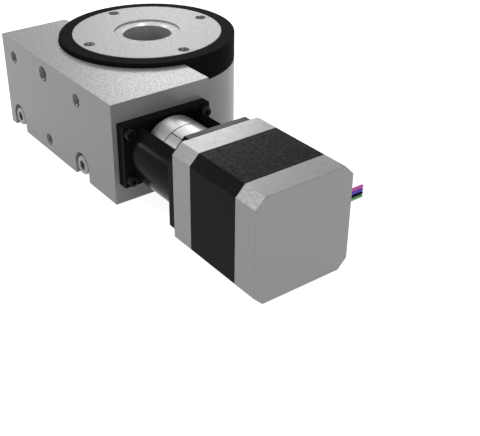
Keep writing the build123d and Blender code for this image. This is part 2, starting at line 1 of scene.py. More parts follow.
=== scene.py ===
# %% [markdown]
# # A rotary table turned by a worm and a stepper motor
# The real object is a milled aluminium block with a round turning plate. A black flanged tube carries a square
# motor, and a polished coupling shows through the tube's window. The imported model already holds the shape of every
# rigid piece, so this lesson keeps most of those meshes and gives each a finish. It makes anew the black flange's
# corners, the countersinks, the threads and the cut wire ends, and sets up the camera and a soft studio.

# %% Load the frame
import json
import math

import bmesh
import bpy
from mathutils import Matrix, Vector


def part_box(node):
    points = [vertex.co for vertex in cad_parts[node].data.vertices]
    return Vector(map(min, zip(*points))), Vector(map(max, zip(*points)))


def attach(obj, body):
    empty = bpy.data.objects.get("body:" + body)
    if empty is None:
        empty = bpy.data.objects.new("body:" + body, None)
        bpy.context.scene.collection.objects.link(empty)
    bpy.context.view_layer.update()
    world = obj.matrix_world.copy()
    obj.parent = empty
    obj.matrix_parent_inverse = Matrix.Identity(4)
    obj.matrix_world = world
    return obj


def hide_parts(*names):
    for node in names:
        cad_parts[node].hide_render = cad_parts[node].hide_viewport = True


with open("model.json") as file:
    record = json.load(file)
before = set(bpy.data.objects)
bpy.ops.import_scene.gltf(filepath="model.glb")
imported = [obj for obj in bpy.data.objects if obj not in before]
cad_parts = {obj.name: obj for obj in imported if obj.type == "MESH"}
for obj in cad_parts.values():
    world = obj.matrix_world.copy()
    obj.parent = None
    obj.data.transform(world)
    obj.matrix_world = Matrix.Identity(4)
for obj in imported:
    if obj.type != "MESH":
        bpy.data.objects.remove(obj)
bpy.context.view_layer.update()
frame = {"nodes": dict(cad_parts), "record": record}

MM = 0.001
nodes = frame["nodes"]
slot_of = {part["node"]: part["material_slot"] for part in frame["record"]["subparts"]}

# %% [markdown]
# ## Helpers for finishes
# A finish is one Principled shader with a few nodes in front of it. Numbers that are the same all over the surface
# stay on the shader's own sockets. Patterns read Object coordinates, because each piece's place is in its mesh, so
# a pattern sticks to the metal when the table turns.

# %% Start a finish and add nodes
def new_finish(name, colour, metallic, roughness, **more):
    """A material whose plain numbers stand on the shader's own sockets."""
    material = bpy.data.materials.new(name)
    material.use_nodes = True
    shader = material.node_tree.nodes["Principled BSDF"]
    values = {"Base Color": (*colour, 1), "Metallic": metallic, "Roughness": roughness, **more}
    for socket, value in values.items():
        shader.inputs[socket].default_value = value
    return material


def add_node(material, kind, values=(), **settings):
    """A new node with its settings and its socket values."""
    node = material.node_tree.nodes.new("ShaderNode" + kind)
    for key, value in settings.items():
        setattr(node, key, value)
    for socket, value in dict(values).items():
        node.inputs[socket].default_value = value
    return node


def link(material, source, target):
    """Join an output to an input."""
    material.node_tree.links.new(source, target)


def shader_input(material, name):
    """A socket of the finish's main shader."""
    return material.node_tree.nodes["Principled BSDF"].inputs[name]


print("helpers ready")

# %% [markdown]
# Two patterns cover nearly everything in a machine shop. Blasted and cast surfaces have grains that look alike in
# every direction. A lathe leaves fine rings: they depend only on how far a point lies from the turning axis and
# along it, so feeding those two numbers into a noise gives rings on the end faces and on the round sides alike.

# %% Grain and lathe patterns
def grain(material, size, detail=2.0, stretch=(1.0, 1.0, 1.0)):
    """Noise with grains of about this size in metres, drawn out along an axis by stretch."""
    place = add_node(material, "TexCoord")
    scaled = add_node(material, "Mapping", {"Scale": [1 / (size * s) for s in stretch]})
    noise = add_node(material, "TexNoise", {"Scale": 1.0, "Detail": detail})
    link(material, place.outputs["Object"], scaled.inputs["Vector"])
    link(material, scaled.outputs["Vector"], noise.inputs["Vector"])
    return noise.outputs["Fac"]


def lathe_rings(material, centre, axis, pitch):
    """Noise in rings about an axis through centre, with rings about pitch metres wide."""
    place = add_node(material, "TexCoord")
    moved = add_node(material, "VectorMath", {1: centre}, operation="SUBTRACT")
    along = add_node(material, "VectorMath", {1: axis}, operation="DOT_PRODUCT")
    across = add_node(material, "VectorMath", {1: [1 - a for a in axis]}, operation="MULTIPLY")
    distance = add_node(material, "VectorMath", operation="LENGTH")
    both = add_node(material, "CombineXYZ")
    noise = add_node(material, "TexNoise", {"Scale": 1 / pitch, "Detail": 3.0})
    link(material, place.outputs["Object"], moved.inputs[0])
    link(material, moved.outputs["Vector"], along.inputs[0])
    link(material, moved.outputs["Vector"], across.inputs[0])
    link(material, across.outputs["Vector"], distance.inputs[0])
    link(material, distance.outputs["Value"], both.inputs["X"])
    link(material, along.outputs["Value"], both.inputs["Y"])
    link(material, both.outputs["Vector"], noise.inputs["Vector"])
    return noise.outputs["Fac"]


print("patterns ready")

# %% [markdown]
# A pattern can do three jobs: tint the colour, change the gloss, and raise the surface. A tint is a ramp between
# two colours. Relief goes through a Bump node, and a Bevel node in front of it rounds the sharp edges of the
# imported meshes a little, as a deburred edge is.

# %% Tint, gloss and relief
NOISE_LOW, NOISE_HIGH = 0.3, 0.7
DEBURRED = 0.2 * MM
BEVEL_SAMPLES = 6


def tint(material, pattern, dark, light):
    """Colour the surface between two colours by a pattern."""
    ramp = add_node(material, "ValToRGB")
    for stop, position, colour in zip(ramp.color_ramp.elements, (NOISE_LOW, NOISE_HIGH), (dark, light)):
        stop.position = position
        stop.color = (*colour, 1)
    link(material, pattern, ramp.inputs["Fac"])
    link(material, ramp.outputs["Color"], shader_input(material, "Base Color"))


def gloss(material, pattern, smooth, rough):
    """Vary the roughness between two values by a pattern."""
    spread = add_node(
        material, "MapRange", {"From Min": NOISE_LOW, "From Max": NOISE_HIGH, "To Min": smooth, "To Max": rough}
    )
    link(material, pattern, spread.inputs["Value"])
    link(material, spread.outputs["Result"], shader_input(material, "Roughness"))


def relief(material, pattern, depth, edge=DEBURRED, strength=1.0):
    """Raise the surface by depth metres where the pattern is high, with edges rounded by edge metres."""
    rounded = add_node(material, "Bevel", {"Radius": edge}, samples=BEVEL_SAMPLES)
    bump = add_node(material, "Bump", {"Strength": strength, "Distance": depth})
    link(material, pattern, bump.inputs["Height"])
    link(material, rounded.outputs["Normal"], bump.inputs["Normal"])
    link(material, bump.outputs["Normal"], shader_input(material, "Normal"))


def grey(value):
    """A neutral colour."""
    return value, value, value


print("tint, gloss and relief ready")

# %% [markdown]
# ## Aluminium
# The block, the plate and the two motor castings are bare aluminium with a fine matt blast. A blasted surface
# scatters light almost like paint, so its metallic value is low, and small bright and dark grains sit close
# together. The photograph shows the grains on the tops only, so a node fades them out on upright faces by the
# surface's normal. On the tops their bright and dark colour is partly real grain and partly painted sheen.
# The block has the strongest grain, the plate a weaker one, and the castings a machined skin.

# %% Blasted block, plate and motor castings
NOISE_MIDDLE = (NOISE_LOW + NOISE_HIGH) / 2
GLOSS_SPREAD = 0.06


def grain_and_sheen_on_top(material, pattern):
    """Keep a pattern on faces that look up, where the sheen falls, and fade it to its middle value on upright faces.
    As a colour it paints part of the sheen.
    """
    facing = add_node(material, "TexCoord")
    parts = add_node(material, "SeparateXYZ")
    centred = add_node(material, "Math", {1: NOISE_MIDDLE}, operation="SUBTRACT")
    faded = add_node(material, "Math", {2: NOISE_MIDDLE}, operation="MULTIPLY_ADD")
    link(material, facing.outputs["Normal"], parts.inputs["Vector"])
    link(material, pattern, centred.inputs[0])
    link(material, centred.outputs["Value"], faded.inputs[0])
    link(material, parts.outputs["Z"], faded.inputs[1])
    return faded.outputs["Value"]


def blasted(name, colour, spread, size, depth, metallic, roughness):
    """Matt blasted metal: speckled colour and gloss and a shallow pitted relief, all plain on upright faces. The
    colour grain on the tops is partly painted sheen.
    """
    material = new_finish(name, grey(colour), metallic, roughness, **{"Specular IOR Level": 0.25})
    speckle_and_sheen = grain_and_sheen_on_top(material, grain(material, size, detail=4.0))
    # The colour grain on the tops is partly real blast grain and partly painted sheen.
    tint(material, speckle_and_sheen, grey(colour - spread), grey(colour + spread))
    gloss(material, speckle_and_sheen, roughness + GLOSS_SPREAD, roughness - GLOSS_SPREAD)
    relief(material, speckle_and_sheen, depth)
    return material


block_metal = blasted("blasted block aluminium", 0.37, 0.15, 0.85 * MM, 0.06 * MM, 0.1, 0.34)
plate_metal = blasted("fine blasted plate aluminium", 0.45, 0.1, 0.8 * MM, 0.03 * MM, 0.1, 0.44)
cast_metal = blasted("machined casting", 0.43, 0.08, 0.8 * MM, 0.015 * MM, 0.12, 0.3)
print("aluminium:", block_metal.name, plate_metal.name, cast_metal.name)

# %% [markdown]
# ## Black parts
# The tube and the skirt ring are black anodised. Anodising keeps the lathe's rings, so they show as a faint change
# of gloss. The motor's stack is a pile of thin steel sheets under black paint, and its sheets show as fine lines
# across the motor's axis. Black parts would mirror the white surroundings, so their specular level is very low.

# %% Black anodised metal
MOTOR_AXIS_POINT = Vector((-30.25, 0.0, 22.55)) * MM
ALONG_Y, ALONG_Z = (0.0, 1.0, 0.0), (0.0, 0.0, 1.0)


def anodised(name, centre, axis, sheen, smooth, rough):
    """Satin black with lathe rings in its gloss. Sheen sets how much it mirrors."""
    material = new_finish(name, grey(0.012), 0.0, rough, **{"Specular IOR Level": sheen})
    rings = lathe_rings(material, centre, axis, 0.35 * MM)
    tint(material, grain(material, 0.8 * MM), grey(0.010), grey(0.014))
    gloss(material, rings, smooth, rough)
    relief(material, rings, 0.002 * MM)
    return material


tube_black = anodised("black anodised tube", MOTOR_AXIS_POINT, ALONG_Y, 0.02, 0.12, 0.18)
ring_black = anodised("black anodised ring", Vector(), ALONG_Z, 0.004, 0.45, 0.6)
print("black anodised:", tube_black.name, ring_black.name)

# %% Painted steel sheets of the motor's stack
SHEET_THICKNESS = 0.5 * MM
WAVE_UNIT = 20.0


def sheet_lines(material):
    """Bands across the motor's axis, one for each steel sheet."""
    place = add_node(material, "TexCoord")
    scale = math.tau / (WAVE_UNIT * SHEET_THICKNESS)
    bands = add_node(
        material, "TexWave", {"Scale": scale, "Distortion": 0.6, "Detail": 1.0},
        wave_type="BANDS", bands_direction="Y",
    )
    link(material, place.outputs["Object"], bands.inputs["Vector"])
    return bands.outputs["Fac"]


stack_black = new_finish("black painted stack", grey(0.010), 0.0, 0.5, **{"Specular IOR Level": 0.035})
paint_grain_and_sheen = grain_and_sheen_on_top(stack_black, grain(stack_black, 0.9 * MM, detail=4.0))
# The paint's colour grain on the top is partly real grain and partly painted sheen.
tint(stack_black, paint_grain_and_sheen, grey(0.004), grey(0.018))
gloss(stack_black, paint_grain_and_sheen, 0.6, 0.4)
relief(stack_black, sheet_lines(stack_black), 0.01 * MM, strength=0.6)
print("stack:", stack_black.name)

# %% [markdown]
# ## Bright turned metal
# The coupling is turned and satin polished, with hair-fine rings. The shafts are plain bright steel, the bearings
# are ground, and the worm wheel is hobbed bronze. One helper makes them all, with rings in gloss and relief.

# %% Polished coupling, shafts, bearings and bronze
RING_SHADE = 0.92


def turned(name, colour, smooth, rough, centre, axis, pitch, depth):
    """Bright metal with lathe rings in its gloss and relief."""
    material = new_finish(name, colour, 1.0, smooth)
    rings = lathe_rings(material, centre, axis, pitch)
    tint(material, rings, [c * RING_SHADE for c in colour], colour)
    gloss(material, rings, smooth, rough)
    relief(material, rings, depth)
    return material


coupling_metal = turned(
    "polished coupling", grey(0.33), 0.3, 0.38, MOTOR_AXIS_POINT, ALONG_Y, 0.25 * MM, 0.002 * MM
)
shaft_steel = turned("bright shaft", grey(0.55), 0.2, 0.32, MOTOR_AXIS_POINT, ALONG_Y, 0.2 * MM, 0.002 * MM)
bearing_steel = turned("ground bearing steel", grey(0.6), 0.12, 0.2, Vector(), ALONG_Z, 0.2 * MM, 0.001 * MM)
bronze = turned("hobbed bronze", (0.55, 0.33, 0.13), 0.28, 0.4, Vector(), ALONG_Z, 0.3 * MM, 0.004 * MM)
print("turned:", coupling_metal.name, shaft_steel.name, bearing_steel.name, bronze.name)

# %% [markdown]
# Screws are small and made by the thousand. Bright ones, such as the two in the side pockets, have a drawn and
# slightly streaky steel surface. Black ones are dipped in an oxide bath that leaves a thin, blotchy dark skin.

# %% Screws
bright_steel = new_finish("bright screw steel", grey(0.3), 0.5, 0.4)
streaks = grain(bright_steel, 0.3 * MM, stretch=(6.0, 1.0, 1.0))
tint(bright_steel, streaks, grey(0.25), grey(0.34))
gloss(bright_steel, streaks, 0.34, 0.46)
relief(bright_steel, streaks, 0.005 * MM)

black_steel = new_finish("black oxide screw", grey(0.008), 0.0, 0.4, **{"Specular IOR Level": 0.12})
blotches = grain(black_steel, 0.7 * MM, detail=3.0)
tint(black_steel, blotches, grey(0.006), grey(0.014))
gloss(black_steel, blotches, 0.34, 0.5)
relief(black_steel, blotches, 0.006 * MM)
print("screws:", bright_steel.name, black_steel.name)

# %% [markdown]
# ## Inside the motor
# The coils are enamelled copper wire, so their colour runs in thin strands. The rotor is ground steel, and the
# leads leave the motor through a moulded plastic grommet.

# %% Copper, rotor and plastic grommet
copper = new_finish("enamelled copper", (0.6, 0.24, 0.08), 0.9, 0.3)
strands = lathe_rings(copper, MOTOR_AXIS_POINT, ALONG_Y, 0.4 * MM)
tint(copper, strands, (0.35, 0.12, 0.04), (0.7, 0.3, 0.11))
relief(copper, strands, 0.05 * MM)

rotor_steel = turned("ground rotor", grey(0.3), 0.3, 0.42, MOTOR_AXIS_POINT, ALONG_Y, 0.3 * MM, 0.003 * MM)

grommet_plastic = new_finish("moulded grommet", grey(0.02), 0.0, 0.5)
skin = grain(grommet_plastic, 0.3 * MM)
tint(grommet_plastic, skin, grey(0.015), grey(0.03))
relief(grommet_plastic, skin, 0.01 * MM)
print("inside:", copper.name, rotor_steel.name, grommet_plastic.name)

# %% [markdown]
# ## Lead insulation
# The four leads are smooth coloured insulation. Drawn insulation has faint streaks along the wire, so the noise is
# stretched along X. The pink, blue and green are clear colours, and the navy one is nearly black.

# %% Four insulation colours
STREAK_DARK, STREAK_LIGHT = 0.8, 1.15


def insulation(name, colour):
    """Smooth coloured plastic with faint streaks along the wire."""
    material = new_finish(name, colour, 0.0, 0.45, **{"Specular IOR Level": 0.1})
    along_wire = grain(material, 0.25 * MM, stretch=(12.0, 1.0, 1.0))
    tint(material, along_wire, [c * STREAK_DARK for c in colour], [min(1.0, c * STREAK_LIGHT) for c in colour])
    relief(material, along_wire, 0.01 * MM, edge=0.08 * MM)
    return material


lead_colours = {
    "pink": (0.90, 0.18, 0.62),
    "blue": (0.19, 0.13, 0.84),
    "navy": (0.002, 0.002, 0.020),
    "green": (0.30, 0.72, 0.36),
}
lead_finish = {name: insulation(name + " insulation", colour) for name, colour in lead_colours.items()}
print("leads:", sorted(lead_finish))

# %% [markdown]
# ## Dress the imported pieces
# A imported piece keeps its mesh. Only the material in its slots changes, chosen by the record's slot name, with a
# few pieces named one by one because they turn about another axis.

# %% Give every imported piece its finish
finish_of_slot = {
    "block_aluminium": block_metal,
    "plate_aluminium": plate_metal,
    "black_anodised": tube_black,
    "bright_steel": bright_steel,
    "black_steel": black_steel,
    "bearing_steel": bearing_steel,
    "bronze": bronze,
    "polished_aluminium": coupling_metal,
    "motor_cast": cast_metal,
    "stack_black": stack_black,
    "copper": copper,
    "grommet_plastic": grommet_plastic,
    "rotor_steel": rotor_steel,
    **{name + "_insulation": finish for name, finish in lead_finish.items()},
}
finish_of_node = {"dial_ring": ring_black, "worm_shaft": shaft_steel, "motor_shaft": shaft_steel}
for name, node in nodes.items():
    finish = finish_of_node.get(name, finish_of_slot[slot_of[name]])
    for slot in node.material_slots:
        slot.material = finish
print("dressed", len(nodes), "packed pieces")

# %% [markdown]
# ## Pieces made here
# A new piece starts as a bmesh, is shaped by operators, and becomes an object at the origin that rides on a body.
# Where it stands for a imported piece, the imported one is no longer shown.

# %% Turn a bmesh into a piece
MERGE = 0.001 * MM


def merged_copy(name):
    """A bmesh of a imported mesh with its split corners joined."""
    shape = bmesh.new()
    shape.from_mesh(nodes[name].data)
    bmesh.ops.remove_doubles(shape, verts=shape.verts, dist=MERGE)
    return shape


def make_piece(name, shape, finish, body, replaced=(), more_finishes=()):
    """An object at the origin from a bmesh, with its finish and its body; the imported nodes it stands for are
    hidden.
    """
    bmesh.ops.remove_doubles(shape, verts=shape.verts, dist=MERGE)
    bmesh.ops.recalc_face_normals(shape, faces=shape.faces)
    mesh = bpy.data.meshes.new(name)
    shape.to_mesh(mesh)
    shape.free()
    for material in (finish, *more_finishes):
        mesh.materials.append(material)
    piece = bpy.data.objects.new(name, mesh)
    bpy.context.scene.collection.objects.link(piece)
    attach(piece, body)
    if replaced:
        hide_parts(*replaced)
    print(name, "rides on", body, "with", len(mesh.polygons), "faces")


# %% [markdown]
# ### The tube's oblong flange
# The flange against the block is a plain sharp-cornered rectangle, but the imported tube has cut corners. A copy of
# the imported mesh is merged, and the two points at each cut are drawn together in the true corner. The four screw
# holes are moved a little inwards with their rims, to where the photograph shows the screws.

# %% Square the corners and move the holes
FLANGE_FACE, FLANGE_BACK = -62.3 * MM, -57.6 * MM
FLANGE_CORNER = Vector((20.6, 0.0, 13.5)) * MM
PACKED_HOLE = Vector((18.0, 0.0, 10.9)) * MM
TRUE_HOLE = Vector((17.85, 0.0, 10.25)) * MM
CORNER_REACH, RIM_REACH = 2.75 * MM, 1.8 * MM
LEVEL_REACH, RIM_DEPTH = 0.01 * MM, 0.1 * MM


def four_corners(offset):
    """The same offset from the motor's axis in each of the four quarters."""
    return [
        MOTOR_AXIS_POINT + Vector((offset.x * side, 0, offset.z * level))
        for side in (-1, 1) for level in (-1, 1)
    ]


def near(shape, place, reach):
    """The vertices that lie within reach of a line along Y through place."""
    return [v for v in shape.verts if math.hypot(v.co.x - place.x, v.co.z - place.z) < reach]


moved_holes = list(zip(four_corners(PACKED_HOLE), four_corners(TRUE_HOLE)))
flange = merged_copy("coupling_housing")
for corner in four_corners(FLANGE_CORNER):
    for depth in (FLANGE_FACE, FLANGE_BACK):
        cut = [
            v for v in near(flange, corner, CORNER_REACH)
            if abs(v.co.y - depth) < LEVEL_REACH
            and min(abs(v.co.x - corner.x), abs(v.co.z - corner.z)) < LEVEL_REACH
        ]
        bmesh.ops.pointmerge(flange, verts=cut, merge_co=(corner.x, depth, corner.z))
for packed, true in moved_holes:
    rim = [v for v in near(flange, packed, RIM_REACH) if v.co.y > FLANGE_FACE - RIM_DEPTH]
    bmesh.ops.translate(flange, verts=rim, vec=true - packed)
make_piece("flanged_tube", flange, tube_black, "housing", ["coupling_housing"])

# %% [markdown]
# The photograph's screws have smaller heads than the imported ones. Each screw is shrunk about its seat on the
# flange's face, so that it still sits on it, and then moved with its hole.

# %% Smaller screws in the moved holes
HEAD_SHARE = 0.82
HEAD_REACH = 3.2 * MM
flange_screws = merged_copy("coupling_housing_screws")
for packed, true in moved_holes:
    screw = near(flange_screws, packed, HEAD_REACH)
    seat = Matrix.Translation(-(packed + Vector((0, FLANGE_FACE, 0))))
    bmesh.ops.scale(flange_screws, verts=screw, vec=(HEAD_SHARE, HEAD_SHARE, HEAD_SHARE), space=seat)
    bmesh.ops.translate(flange_screws, verts=screw, vec=true - packed)
make_piece(
    "flange_screws", flange_screws, black_steel, "housing", ["coupling_housing_screws"]
)

# %% [markdown]
# ### Countersinks and the bore's bright edge
# A drilled hole gets a countersink so that a screw starts easily. The photograph shows it as a dark cone with a
# glint at each screw hole, and as a bright crescent on the central bore. A boolean takes cones away from a merged
# copy of the imported mesh, and the faces that it leaves carry a finish of their own. The countersinks' finish is
# nearly black: that dark is painted shade in the holes.

# %% Freshly cut metal, polished and with painted shade
def cut_finish(name, colour, spread, smooth, rough):
    """Bare metal as a countersink leaves it, with fine chatter marks. A dark colour paints shade into it."""
    material = new_finish(name, grey(colour), 0.85, smooth)
    marks = grain(material, 0.4 * MM, detail=3.0)
    tint(material, marks, grey(colour - spread), grey(colour + spread))
    gloss(material, marks, smooth, rough)
    relief(material, marks, 0.003 * MM)
    return material


bore_edge = cut_finish("polished bore edge", 0.7, 0.06, 0.2, 0.28)
# Cut aluminium is bright; this near-black colour is painted shade in the countersinks.
countersink_painted_shade = cut_finish("countersink painted shade", 0.1, 0.02, 0.24, 0.32)

# %% [markdown]
# The cutter is a second bmesh that holds one cone for each hole. Each cone's faces carry the number of the finish
# that the cut should leave. Both meshes become helper objects for the modifier and are deleted after it.

# %% A cutting cone and a cut copy
CONE_SIDES = 64
CONE_OVERLAP = 0.3 * MM
BORE_FINISH, HOLE_SHADE_FINISH = 1, 2
cut_finishes = (bore_edge, countersink_painted_shade)


def add_cone(cutter, mouth, inward, radius, width, finish):
    """A 45 degree cone in a hole's mouth, a little longer at both ends than the countersink is wide."""
    depth = width + 2 * CONE_OVERLAP
    turn = inward.to_track_quat("Z", "Y").to_matrix().to_4x4()
    middle = Vector(mouth) + inward * (depth / 2 - CONE_OVERLAP)
    rings = bmesh.ops.create_cone(
        cutter, cap_ends=True, segments=CONE_SIDES, radius1=radius + width + CONE_OVERLAP,
        radius2=radius - CONE_OVERLAP, depth=depth, matrix=Matrix.Translation(middle) @ turn,
    )
    for face in {face for vert in rings["verts"] for face in vert.link_faces}:
        face.material_index = finish


def cut_by(shape, cutter):
    """A bmesh less another. The new faces keep the cutter's material numbers."""
    helpers = []
    for part in (shape, cutter):
        mesh = bpy.data.meshes.new("helper")
        part.to_mesh(mesh)
        part.free()
        for finish in (block_metal, *cut_finishes):
            mesh.materials.append(finish)
        helpers.append(bpy.data.objects.new("helper", mesh))
        bpy.context.scene.collection.objects.link(helpers[-1])
    blank, tool = helpers
    cutting = blank.modifiers.new("cut", "BOOLEAN")
    cutting.operation, cutting.solver, cutting.object = "DIFFERENCE", "EXACT", tool
    result = bmesh.new()
    result.from_object(blank, bpy.context.evaluated_depsgraph_get())
    for helper in helpers:
        bpy.data.objects.remove(helper)
    return result


print("cutter ready")

# %% [markdown]
# The photograph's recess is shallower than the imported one, so its floor is first moved up by half a millimetre,
# together with the chamfer that is already on the bore.

# %% Cut the turning plate
TABLE_HOLE_CIRCLE, TABLE_HOLE_RADIUS, TABLE_TOP = 60.0 * MM, 1.65 * MM, 46.5 * MM
BORE_RADIUS, BORE_EDGE, RECESS_RADIUS = 11.0 * MM, 0.95 * MM, 15.0 * MM
PACKED_RECESS, PACKED_CHAMFER, TRUE_RECESS = 1.1 * MM, 0.7 * MM, 0.6 * MM
TABLE_COUNTERSINK = 0.95 * MM
DOWN = Vector((0, 0, -1))
table_holes = [
    Matrix.Rotation(quarter * math.pi / 2, 4, "Z") @ Vector((TABLE_HOLE_CIRCLE / 2, 0, TABLE_TOP))
    for quarter in range(4)
]
plate = merged_copy("table_plate")
recess_floor = [
    vert for vert in plate.verts
    if -LEVEL_REACH < TABLE_TOP - PACKED_RECESS - vert.co.z < PACKED_CHAMFER + LEVEL_REACH
    and vert.co.xy.length < RECESS_RADIUS + LEVEL_REACH
]
bmesh.ops.translate(plate, verts=recess_floor, vec=DOWN * (TRUE_RECESS - PACKED_RECESS))
table_cutter = bmesh.new()
add_cone(table_cutter, (0, 0, TABLE_TOP - TRUE_RECESS), DOWN, BORE_RADIUS, BORE_EDGE, BORE_FINISH)
for hole in table_holes:
    add_cone(table_cutter, hole, DOWN, TABLE_HOLE_RADIUS, TABLE_COUNTERSINK, HOLE_SHADE_FINISH)
make_piece(
    "turning_plate", cut_by(plate, table_cutter), plate_metal, "table", ["table_plate"],
    cut_finishes,
)

# %% [markdown]
# The block's left face has two tapped holes, a larger tapped port and a plain dowel hole. A small table keeps each
# hole's place, radius and thread pitch in millimetres, and both the countersinks and the threads read it.

# %% Cut the block's left face
LEFT_FACE = -53.0 * MM
SIDE_COUNTERSINK = 0.85 * MM
INTO_BLOCK = Vector((1, 0, 0))
side_holes = {
    "rear": ((-28.8, 36.0), 2.1, 0.8),
    "front": ((31.2, 36.0), 2.1, 0.8),
    "port": ((1.2, 37.8), 2.7, 0.9),
    "dowel": ((1.2, 6.1), 1.9, None),
}
block_cutter = bmesh.new()
for (y, z), radius, pitch in side_holes.values():
    mouth = (LEFT_FACE, y * MM, z * MM)
    add_cone(block_cutter, mouth, INTO_BLOCK, radius * MM, SIDE_COUNTERSINK, HOLE_SHADE_FINISH)
make_piece(
    "milled_block", cut_by(merged_copy("housing_block"), block_cutter), block_metal, "housing",
    ["housing_block"], cut_finishes,
)

# %% [markdown]
# ### Threads
# The plate's four holes, the two outer side holes and the port are tapped. A tap leaves one ridge that winds down
# the wall. Here a small triangle is spun round the hole's axis while it moves along it, which is what a tap does.
# The ridge's back lies in the wall and only its tip shows.

# %% A tapped thread
THREAD_STEPS = 20
RIDGE_SINK, RIDGE_HEIGHT, RIDGE_HALF_WIDTH = 0.02 * MM, 0.22, 0.42
TABLE_PITCH, TABLE_TURNS = 0.6 * MM, 3


def thread_ridge(shape, mouth, inward, radius, pitch, turns):
    """Wind a triangular ridge down a hole from its mouth, into one bmesh."""
    side = inward.orthogonal().normalized()
    root, tip = radius + RIDGE_SINK, radius - RIDGE_HEIGHT * pitch
    corners = [(root, -RIDGE_HALF_WIDTH), (tip, 0.0), (root, RIDGE_HALF_WIDTH)]
    points = [mouth + side * reach + inward * (pitch * (0.5 + step)) for reach, step in corners]
    face = shape.faces.new([shape.verts.new(point) for point in points])
    bmesh.ops.spin(
        shape, geom=[face], cent=mouth, axis=inward, dvec=inward * pitch / THREAD_STEPS,
        angle=math.tau * turns, steps=THREAD_STEPS * turns, use_merge=False, use_duplicate=False,
    )


table_threads = bmesh.new()
for hole in table_holes:
    mouth = hole + DOWN * TABLE_COUNTERSINK
    thread_ridge(table_threads, mouth, DOWN, TABLE_HOLE_RADIUS, TABLE_PITCH, TABLE_TURNS)
make_piece("table_hole_threads", table_threads, plate_metal, "table")

# %% Threads in the left face
SIDE_TURNS = 7
side_threads = bmesh.new()
for (y, z), radius, pitch in side_holes.values():
    if pitch:
        mouth = Vector((LEFT_FACE + SIDE_COUNTERSINK, y * MM, z * MM))
        thread_ridge(side_threads, mouth, INTO_BLOCK, radius * MM, pitch * MM, SIDE_TURNS)
make_piece("side_hole_threads", side_threads, block_metal, "housing")

# %% [markdown]
# ### Cut leads
# The leads end cut off, as the photograph shows. Each is a round insulation tube with a softly rounded rim, and
# seven thin copper strands end just inside it. A circle is extruded along X, its end is bevelled for the rim, and
# an inset face pushed inwards leaves the wall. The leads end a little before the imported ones, as in the photograph.

# %% One insulation tube and its strands
LEAD_SIDES, RIM_STEPS = 24, 3
CUT_SHORT = 1.0 * MM
RIM_BEVEL, WALL, END_DEPTH = 0.08 * MM, 0.14 * MM, 0.35 * MM
STRAND_SIDES, STRANDS_ROUND = 10, 6
STRAND_RADIUS, STRAND_TAPER, STRAND_SPACING = 0.13 * MM, 0.9, 2.1
STRAND_LENGTH, STRAND_INSET = 0.5 * MM, 0.3 * MM
ACROSS = Matrix.Rotation(math.pi / 2, 4, "Y")
strand_bundle = bmesh.new()


def lead_tube(name):
    """Replace one packed lead with an insulation tube, and add its strands to the bundle."""
    low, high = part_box("lead_" + name)
    high = high - Vector((CUT_SHORT, 0, 0))
    middle_y, middle_z = (low.y + high.y) / 2, (low.z + high.z) / 2
    start = Matrix.Translation((low.x, middle_y, middle_z)) @ ACROSS
    tube = bmesh.new()
    bmesh.ops.create_circle(
        tube, cap_ends=True, segments=LEAD_SIDES, radius=(high.z - low.z) / 2, matrix=start
    )
    grown = bmesh.ops.extrude_face_region(tube, geom=tube.faces[:])["geom"]
    moved = [v for v in grown if isinstance(v, bmesh.types.BMVert)]
    bmesh.ops.translate(tube, verts=moved, vec=(high.x - low.x, 0, 0))
    end = next(f for f in grown if isinstance(f, bmesh.types.BMFace))
    bmesh.ops.bevel(
        tube, geom=list(end.edges), offset=RIM_BEVEL, offset_type="OFFSET", affect="EDGES",
        segments=RIM_STEPS, profile=0.5, material=-1,
    )
    end = max(tube.faces, key=lambda f: f.calc_center_median().x)
    bmesh.ops.inset_region(tube, faces=[end], thickness=WALL)
    bmesh.ops.translate(tube, verts=list(end.verts), vec=(-END_DEPTH, 0, 0))
    make_piece("lead_tube_" + name, tube, lead_finish[name], "housing", ["lead_" + name])
    ring = [Matrix.Rotation(turn * math.tau / STRANDS_ROUND, 2) for turn in range(STRANDS_ROUND)]
    spread = Vector((STRAND_SPACING * STRAND_RADIUS, 0.0))
    for y, z in [Vector((0.0, 0.0))] + [turn @ spread for turn in ring]:
        spot = Matrix.Translation((high.x - STRAND_INSET, middle_y + y, middle_z + z)) @ ACROSS
        bmesh.ops.create_cone(
            strand_bundle, cap_ends=True, segments=STRAND_SIDES, radius1=STRAND_RADIUS,
            radius2=STRAND_RADIUS * STRAND_TAPER, depth=STRAND_LENGTH, matrix=spot,
        )


# %% All four leads
for name in lead_colours:
    lead_tube(name)
make_piece("lead_strands", strand_bundle, copper, "housing")

# %% [markdown]
# ## Studio
# The photograph has a plain white background. The floor is a pale matt sheet. To a camera ray, and to a ray that
# has bounced off metal or passed through glass, it also glows a little, so it reads as white and still takes the
# object's shadow. The world behind it does the same.

# %% Rays that see the background
def background_ray(tree):
    """1 for a ray from the camera, a mirror or glass, else 0."""
    path = tree.nodes.new("ShaderNodeLightPath")
    first = tree.nodes.new("ShaderNodeMath")
    second = tree.nodes.new("ShaderNodeMath")
    first.operation = second.operation = "MAXIMUM"
    tree.links.new(path.outputs["Is Camera Ray"], first.inputs[0])
    tree.links.new(path.outputs["Is Glossy Ray"], first.inputs[1])
    tree.links.new(first.outputs[0], second.inputs[0])
    tree.links.new(path.outputs["Is Transmission Ray"], second.inputs[1])
    return second.outputs[0]


print("background rays ready")

# %% Floor
FLOOR_SIZE, FLOOR_DROP = 30.0, 0.2 * MM
FLOOR_COLOUR, FLOOR_GLOW = 0.85, 0.9
floor_shape = bmesh.new()
bmesh.ops.create_grid(floor_shape, x_segments=1, y_segments=1, size=FLOOR_SIZE / 2)
bmesh.ops.translate(floor_shape, verts=floor_shape.verts, vec=(0, 0, -FLOOR_DROP))
floor_mesh = bpy.data.meshes.new("floor")
floor_shape.to_mesh(floor_mesh)
floor_shape.free()
floor = bpy.data.objects.new("floor", floor_mesh)
bpy.context.scene.collection.objects.link(floor)

